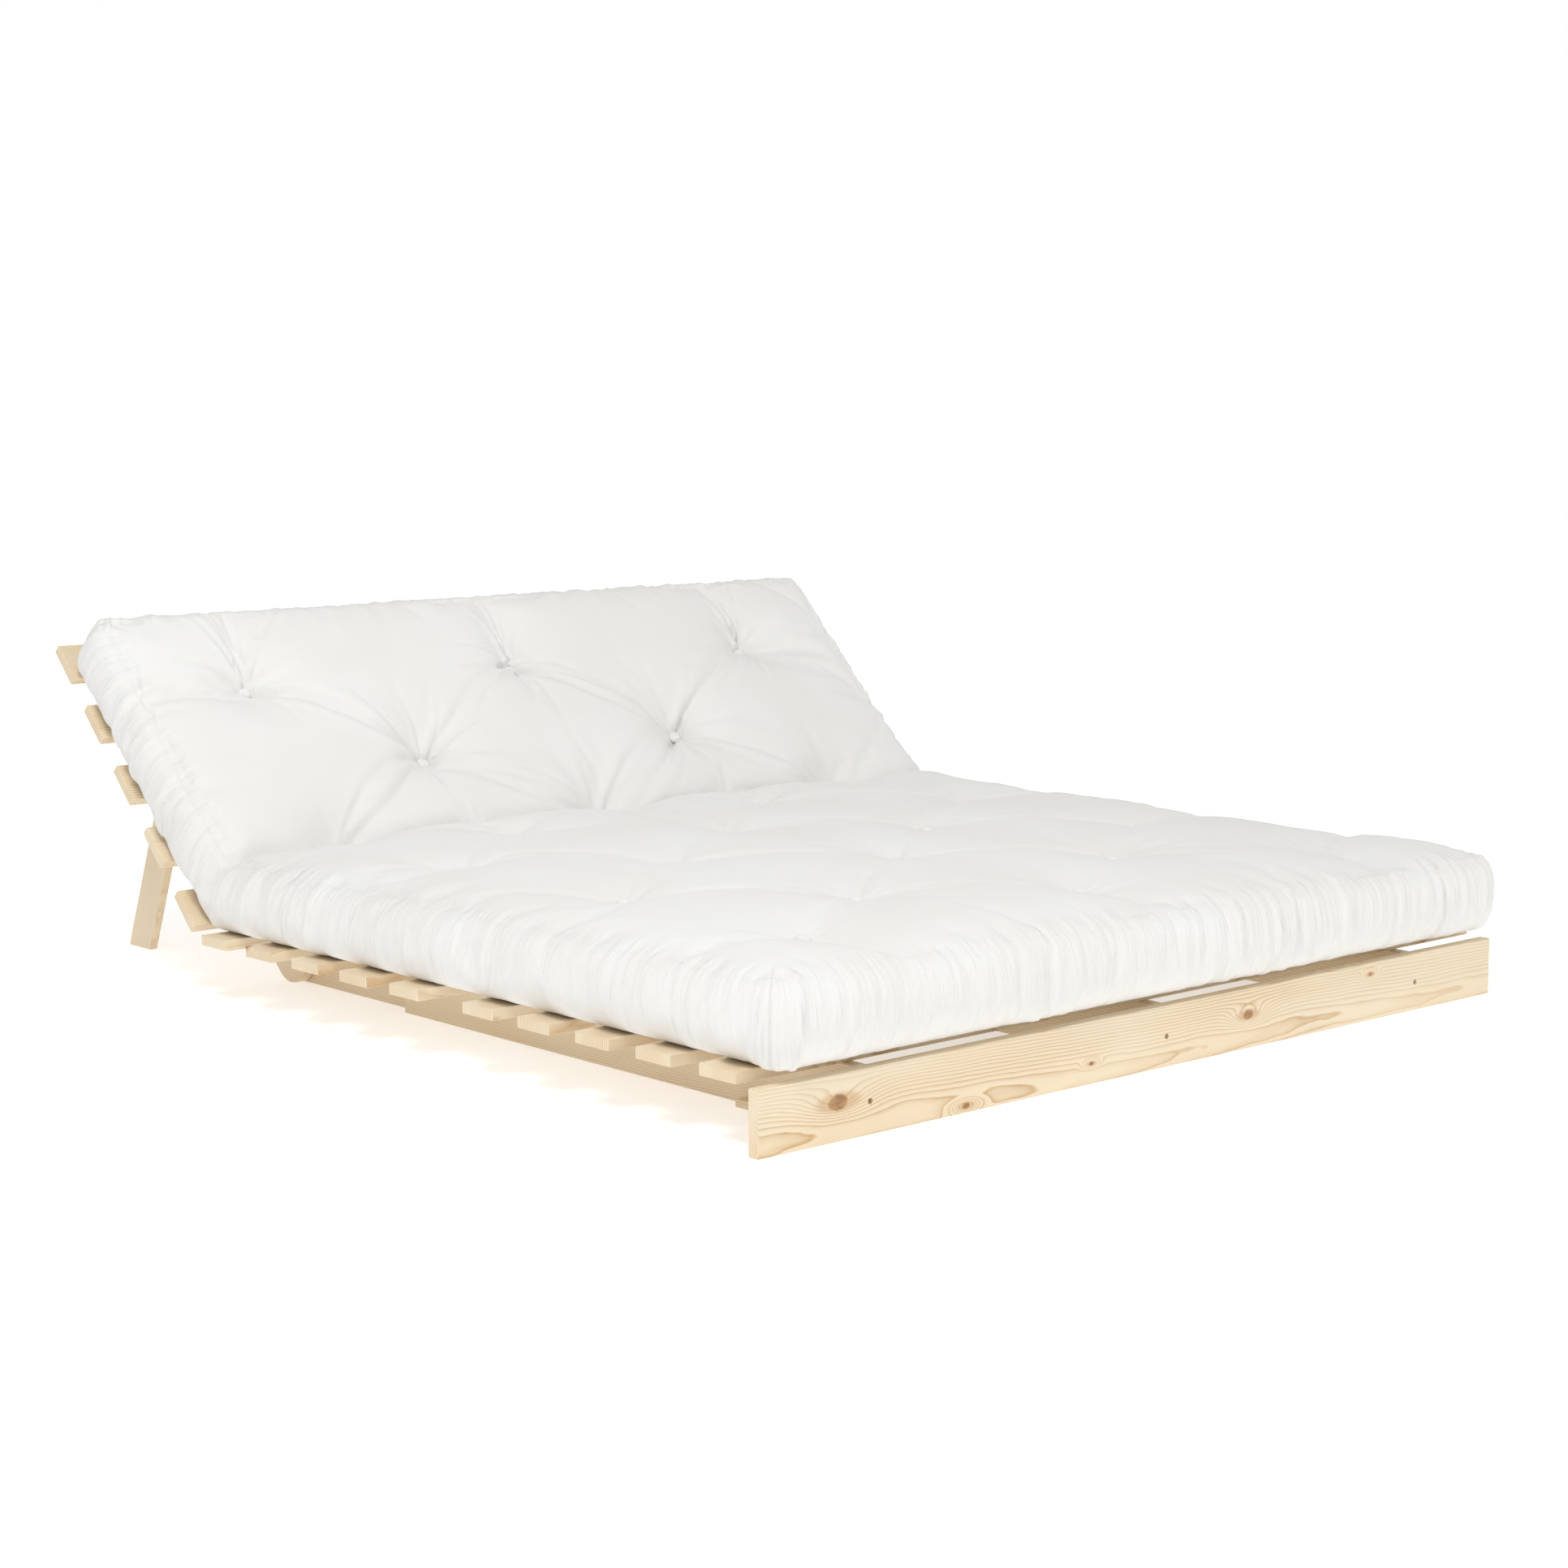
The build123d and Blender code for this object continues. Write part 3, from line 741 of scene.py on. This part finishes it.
def crinkle(x, s, start_x, start_s, heading, length, width, depth, bow=0.0):
    """A crease that leaves a point at a heading and fades over its length: a narrow valley with
    a soft ridge beside it, whose line bows sideways by a sine of the way along it."""
    dx, ds = x - start_x, s - start_s
    way = dx * math.cos(heading) + ds * math.sin(heading)
    aside = -dx * math.sin(heading) + ds * math.cos(heading)
    share = np.clip(way / length, 0, 1)
    aside = aside - bow * np.sin(math.pi * share)
    spread = width * (0.55 + 0.9 * share)
    fade = np.clip(way / 0.012, 0, 1) * (1 - share) ** 0.8
    valley = np.exp(-((aside / spread) ** 2))
    ridge = np.exp(-(((aside - 2.1 * spread) / (1.4 * spread)) ** 2))
    return depth * fade * (0.6 * ridge - valley)


def add_crinkle(near, *shape):
    """Adds a crease of the given shape to the folds of the vertices that are near it."""
    fold[near] += crinkle(flat_x[near], flat_s[near], *shape)


# Short creases all round each tuft, deeper on the back. Rows from here on belong to the back
back_from = crease_at + 0.05
for x, along, sunk in tufts:
    near = (np.hypot(flat_x - x, flat_s - along) < 0.26) & on_panel
    on_back = along > back_from
    creases = 11 if on_back else 8
    for number in range(creases):
        heading = 2 * math.pi * (number + drape.uniform(-0.4, 0.4)) / creases
        length = drape.uniform(0.06, 0.19) if on_back else drape.uniform(0.04, 0.12)
        depth = drape.uniform(0.0028, 0.0058) if on_back else drape.uniform(0.0008, 0.0022)
        width = drape.uniform(0.0038, 0.0066)
        bow = drape.uniform(-0.012, 0.012)
        add_crinkle(near, x, along, heading, length, width, depth, bow)

# Long folds between neighbouring tufts, where the cover is pulled tight from one to the next
for first in range(len(tufts)):
    for second in range(len(tufts)):
        dx = tufts[second, 0] - tufts[first, 0]
        ds = tufts[second, 1] - tufts[first, 1]
        apart = math.hypot(dx, ds)
        if first == second or apart > 0.38 or abs(dx) < 0.1:
            continue
        near = (np.hypot(flat_x - tufts[first, 0], flat_s - tufts[first, 1]) < apart) & on_panel
        back_pair = max(tufts[first, 1], tufts[second, 1]) > back_from
        for _ in range(3 if back_pair else 1):
            depth = drape.uniform(0.0030, 0.0062) if back_pair else drape.uniform(0.0012, 0.0024)
            bow = drape.uniform(-0.030, 0.030) * (1.0 if back_pair else 0.5)
            heading = math.atan2(ds, dx) + drape.uniform(-0.10, 0.10)
            width = drape.uniform(0.006, 0.011)
            add_crinkle(near, *tufts[first, :2], heading, apart * 0.92, width, depth, bow)

# Pleats from the back's upper tufts to the far edge
pleat_start = crease_at + 0.349
for x in THREES:
    near = (abs(flat_x - x) < 0.16) & (flat_s > crease_at + 0.34) & on_panel
    for number in range(5):
        heading = math.pi / 2 + (number - 2) * 0.16 + drape.uniform(-0.05, 0.05)
        length = drape.uniform(0.17, 0.24)
        width = drape.uniform(0.004, 0.007)
        depth = drape.uniform(0.0040, 0.0062)
        bow = drape.uniform(-0.008, 0.008)
        add_crinkle(near, x, pleat_start, heading, length, width, depth, bow)


def gathers(place, seed, amount):
    """Uneven upright puckers along a border: a sum of narrow ridges at random places, closer
    and deeper in clusters."""
    own = np.random.default_rng(seed)
    low, high = place.min(), place.max()
    ridge = np.zeros_like(place)
    count = int((high - low) / 0.0085)
    waves = np.sin(own.uniform(0, 6.28) + place * 9.0) * np.sin(place * 4.1 + 1.0)
    strong = 0.55 + 0.45 * waves
    for _ in range(count):
        middle = own.uniform(low, high)
        width = own.uniform(0.0032, 0.0072)
        size = own.uniform(-1.0, 1.0)
        ridge += size * np.exp(-(((place - middle) / width) ** 2))
    return amount * strong * ridge


def edge_fade(away, reach):
    """Full at an edge, and gone at reach from it."""
    share = np.clip(1 - away / reach, 0, 1)
    return share * share * (3 - 2 * share)


from_left = flat_x - left_x
from_right = right_x - flat_x
from_back = last_row * CELL - flat_s
across_edge = np.minimum(from_left, from_right)
along_edge = np.minimum(flat_s, from_back)
# Puckers are strongest half way down the border, slant a little, and run out over the panel
border_level = np.clip(flat_level / levels, 0, 1)
down_border = np.sin(math.pi * np.clip(border_level * 0.92 + 0.10, 0, 1)) ** 0.7
upright = np.where(flat_level < 0.5, 1.0, down_border)
upright *= flat_level < levels - 0.5
reach = np.where(flat_level < 0.5, 0.050, 0.030)
slant = flat_level * 0.0012
fold += gathers(flat_s + slant, 11, 0.0048) * upright * edge_fade(from_left, reach)
fold += gathers(flat_s - slant, 12, 0.0040) * upright * edge_fade(from_right, reach)
fold += gathers(flat_x + slant, 13, 0.0050) * upright * edge_fade(flat_s, reach)
fold += gathers(flat_x - slant, 14, 0.0038) * upright * edge_fade(from_back, reach)

# The same puckers go on at thread scale in the cotton finish, by way along and share of border
border_way = np.where(across_edge < along_edge, flat_s, flat_x + 5.0)
border_share = upright * np.maximum.reduce(
    [edge_fade(away, reach) for away in (from_left, from_right, flat_s, from_back)]
)

# Seams: the top panel's edge is drawn in by its stitching, and so are the four corner seams
TOP_SEAM_DEPTH = 0.0016
CORNER_SEAM_DEPTH = 0.0028
CORNER_SEAM_WIDTH = 0.006
at_outline = np.minimum(across_edge, along_edge) < 0.012
fold -= TOP_SEAM_DEPTH * np.exp(-(((flat_level - 0.5) / 0.45) ** 2)) * at_outline
to_corner = np.hypot(across_edge, along_edge) / CORNER_SEAM_WIDTH
fold -= CORNER_SEAM_DEPTH * np.exp(-(to_corner**2)) * (flat_level > 0.5)

fine_cover = fine_cover + fold[:, None] * outward(fine_cover, fine_faces)

# ---------------------------------------------------------------------------------------------
# Tuft buttons: small cotton-covered discs, domed, sunk in the dimples; they are part of the
# mattress piece that they are sewn to.
BUTTON_RADIUS = 0.0122
BUTTON_DOME = 0.0066
BUTTON_RAISED = 0.0045
BUTTON_SIDES = 20
BUTTON_RINGS = 7
profile_angle = np.linspace(0, math.pi, BUTTON_RINGS + 2)
button_radius = BUTTON_RADIUS * np.sin(profile_angle) ** 0.75
button_height = BUTTON_DOME * np.cos(profile_angle)
round_angle = np.linspace(0, 2 * math.pi, BUTTON_SIDES, endpoint=False)
ring_points = np.stack(
    [
        button_radius[1:-1, None] * np.cos(round_angle),
        button_radius[1:-1, None] * np.sin(round_angle),
        np.repeat(button_height[1:-1, None], BUTTON_SIDES, axis=1),
    ],
    axis=-1,
).reshape(-1, 3)
button = np.concatenate([ring_points, [[0, 0, BUTTON_DOME], [0, 0, -BUTTON_DOME]]])
side = np.arange(BUTTON_SIDES)
next_side = np.roll(side, -1)
button_quads = []
for ring in range(BUTTON_RINGS - 1):
    upper = ring * BUTTON_SIDES
    lower = upper + BUTTON_SIDES
    around = [lower + side, lower + next_side, upper + next_side, upper + side]
    button_quads += np.stack(around, -1).tolist()
lowest = (BUTTON_RINGS - 1) * BUTTON_SIDES
top_pole = np.full(BUTTON_SIDES, len(ring_points))
button_fans = np.stack([side, next_side, top_pole], -1).tolist()
button_fans += np.stack([next_side + lowest, side + lowest, top_pole + 1], -1).tolist()

# ---------------------------------------------------------------------------------------------
# Cotton cover: undyed plain weave, matt and a little fuzzy, its threads too fine to see singly,
# and drawn up into puckers where the border is sewn on.
def make_cotton():
    """A white cotton finish: faint warmth in broad clouds and slubs, a bump from crumples, from
    flecks at thread scale and from puckers along the border, and sheen from the nap."""
    material = bpy.data.materials.new("cotton_cover")
    material.use_nodes = True
    tree = material.node_tree
    shader = tree.nodes["Principled BSDF"]
    place = tree.nodes.new("ShaderNodeTexCoord").outputs["Object"]
    clouds = noise(tree, place, 5.0, 3.0)
    flecks = noise(tree, vector_maths(tree, "MULTIPLY", place, (900.0, 420.0, 420.0)), 1.0, 2.0)
    slubs = noise(tree, vector_maths(tree, "MULTIPLY", place, (60.0, 700.0, 700.0)), 1.0, 2.0)
    cream = (0.824, 0.813, 0.787, 1.0)
    white = (0.844, 0.838, 0.818, 1.0)
    colour = mixed(tree, faded(tree, clouds, 0.35, 0.65), cream, white)
    slub_share = maths(tree, "MULTIPLY", faded(tree, slubs, 0.50, 0.80), 0.25)
    colour = mixed(tree, slub_share, colour, cream)
    crumple = noise(tree, place, 34.0, 4.0, 0.55)
    way = tree.nodes.new("ShaderNodeAttribute")
    way.attribute_name = "border_way"
    share = tree.nodes.new("ShaderNodeAttribute")
    share.attribute_name = "border_share"
    split = tree.nodes.new("ShaderNodeSeparateXYZ")
    plug_in(tree, split, {"Vector": place})
    upwards = maths(tree, "MULTIPLY", split.outputs["Z"], 0.09)
    along_border = tree.nodes.new("ShaderNodeCombineXYZ")
    plug_in(tree, along_border, {"X": way.outputs["Fac"], "Y": upwards})
    puckers = noise(tree, along_border.outputs[0], 115.0, 2.0)
    puckers = maths(tree, "MULTIPLY", puckers, share.outputs["Fac"])
    height = maths(tree, "MULTIPLY_ADD", flecks, 0.12, maths(tree, "MULTIPLY", crumple, 0.7))
    height = maths(tree, "MULTIPLY_ADD", puckers, 9.0, height)
    bump = tree.nodes.new("ShaderNodeBump")
    plug_in(tree, bump, {"Height": height, "Strength": 0.35, "Distance": 0.0016})
    plug_in(
        tree,
        shader,
        {
            "Base Color": colour,
            "Roughness": maths(tree, "MULTIPLY_ADD", slubs, 0.12, 0.82),
            "Normal": bump.outputs["Normal"],
            "Sheen Weight": 0.25,
            "Sheen Roughness": 0.5,
            "Specular IOR Level": 0.25,
        },
    )
    return material


cotton = make_cotton()

# ---------------------------------------------------------------------------------------------
# The mattress is cut behind the front pivots and at the crease. Each piece is closed at its cuts.
CUT_BEHIND_PIVOTS = 0.262
cut_row = int(round((hinge["seat_fold"].y + CUT_BEHIND_PIVOTS - front_y) / CELL))
face_row = fine_flat[fine_faces][:, :, 1].mean(axis=1)
fine_normal = outward(fine_cover, fine_faces)


def mattress_piece(name, first_row, end_row):
    """The faces of the cover between two rows, closed at the cuts, with the buttons there."""
    faces = fine_faces[(face_row > first_row) & (face_row < end_row)]
    used, renumbered = np.unique(faces, return_inverse=True)
    mesh = new_mesh(name, fine_cover[used], renumbered.reshape(-1, 4))
    for label, values in (("border_way", border_way), ("border_share", border_share)):
        attribute = mesh.attributes.new(label, "FLOAT", "POINT")
        attribute.data.foreach_set("value", values[used].astype(np.float32))
    shaped = bmesh.new()
    shaped.from_mesh(mesh)
    rims = [edge for edge in shaped.edges if edge.is_boundary]
    bmesh.ops.holes_fill(shaped, edges=rims, sides=0)
    for edge in rims:
        edge.smooth = False
    for (x, along, sunk), row in zip(tufts, tuft_rows):
        # a tuft on the crease belongs to the piece in front of it
        owner_row = row - 0.5 if row == crease_row else row
        if not first_row <= owner_row < end_row:
            continue
        away = np.hypot(flat_x - x, flat_s - along) + 10 * (flat_level > 0.5)
        nearest = int(np.argmin(away))
        up = Vector(fine_normal[np.argsort(away)[:25]].mean(axis=0)).normalized()
        turn = up.to_track_quat("Z", "Y").to_matrix()
        centre = Vector(fine_cover[nearest]) + up * BUTTON_RAISED
        corners = [shaped.verts.new(centre + turn @ Vector(point)) for point in button]
        for face in button_quads + button_fans:
            shaped.faces.new([corners[corner] for corner in face])
    shaped.normal_update()
    shaped.to_mesh(mesh)
    shaped.free()
    mesh.polygons.foreach_set("use_smooth", np.ones(len(mesh.polygons), bool))
    mesh.materials.append(cotton)
    piece = bpy.data.objects.new(name, mesh)
    bpy.context.scene.collection.objects.link(piece)
    return piece


front_piece = mattress_piece("mattress_front_piece", -1, cut_row)
middle_piece = mattress_piece("mattress_middle_piece", cut_row, crease_row)
back_piece = mattress_piece("mattress_back_piece", crease_row, last_row + 1)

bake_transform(front_piece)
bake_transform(middle_piece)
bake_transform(back_piece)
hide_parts("mattress_front")
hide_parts("mattress_mid", "mattress_fold")
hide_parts("mattress_back")

# ---------------------------------------------------------------------------------------------
# Studio: a pale floor, three large soft lights and even surroundings; the camera stands in front
# of the bed and to its left, a metre above the floor, with a long lens.
FLOOR_HALF = 14.0
floor_points = np.array([[-1, -1, 0], [1, -1, 0], [1, 1, 0], [-1, 1, 0]], float) * FLOOR_HALF
floor = bpy.data.objects.new("floor", new_mesh("floor", floor_points, np.array([[0, 1, 2, 3]])))
bpy.context.scene.collection.objects.link(floor)
floor_material = bpy.data.materials.new("pale_floor")
floor_material.use_nodes = True
floor_tree = floor_material.node_tree
floor_place = floor_tree.nodes.new("ShaderNodeTexCoord").outputs["Object"]
from_middle = vector_maths(floor_tree, "LENGTH", floor_place)
# The floor glows more for the camera far from the bed, so that it runs into the background
extra_glow = maths(floor_tree, "MULTIPLY_ADD", faded(floor_tree, from_middle, 1.6, 5.0), 0.60, 0.08)
seen = floor_tree.nodes.new("ShaderNodeLightPath").outputs["Is Camera Ray"]
plug_in(
    floor_tree,
    floor_tree.nodes["Principled BSDF"],
    {
        "Base Color": (0.90, 0.90, 0.90, 1.0),
        "Emission Color": (1.0, 1.0, 1.0, 1.0),
        "Emission Strength": maths(floor_tree, "MULTIPLY_ADD", seen, extra_glow, 0.36),
        "Roughness": 0.9,
        "Specular IOR Level": 0.1,
    },
)
floor.data.materials.append(floor_material)
floor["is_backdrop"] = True


def soft_light(name, place, target, size, power):
    """A square white area light at place, turned to target."""
    light = bpy.data.lights.new(name, "AREA")
    light.size = size
    light.energy = power
    lamp = bpy.data.objects.new(name, light)
    lamp.location = place
    lamp.rotation_euler = (Vector(target) - Vector(place)).to_track_quat("-Z", "Y").to_euler()
    bpy.context.scene.collection.objects.link(lamp)


soft_light("key_light", (-2.3, -1.5, 3.7), (0.0, 0.0, 0.3), 1.1, 76.0)
soft_light("front_light", (1.8, -5.0, 2.6), (0.2, -0.6, 0.2), 2.4, 44.0)
soft_light("rim_light", (3.6, 3.4, 2.8), (0.2, 0.3, 0.3), 1.8, 20.0)
SURROUNDINGS = 0.55
world = bpy.data.worlds.new("studio")
world.use_nodes = True
# White as the camera sees it, dimmer as a light
world_seen = world.node_tree.nodes.new("ShaderNodeLightPath").outputs["Is Camera Ray"]
strength = maths(world.node_tree, "MULTIPLY_ADD", world_seen, 1.0 - SURROUNDINGS, SURROUNDINGS)
background = world.node_tree.nodes["Background"]
plug_in(world.node_tree, background, {"Color": (1.0, 1.0, 1.0, 1.0), "Strength": strength})
bpy.context.scene.world = world
bpy.context.scene.view_settings.view_transform = "Standard"

CAMERA_HEADING = math.radians(42.014)
CAMERA_DIP = math.radians(7.714)
lens = bpy.data.cameras.new("camera")
lens.sensor_width = 36.0
lens.lens = 70.21
lens.clip_end = 60.0
camera = bpy.data.objects.new("camera", lens)
camera.location = (-3.3580, -3.8203, 1.0135)
camera.rotation_euler = Euler((math.pi / 2 - CAMERA_DIP, 0.0, -CAMERA_HEADING), "XYZ")
bpy.context.scene.collection.objects.link(camera)
bpy.context.scene.camera = camera

# ---------------------------------------------------------------------------------------------
# The size of the model with its looks.
low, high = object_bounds()
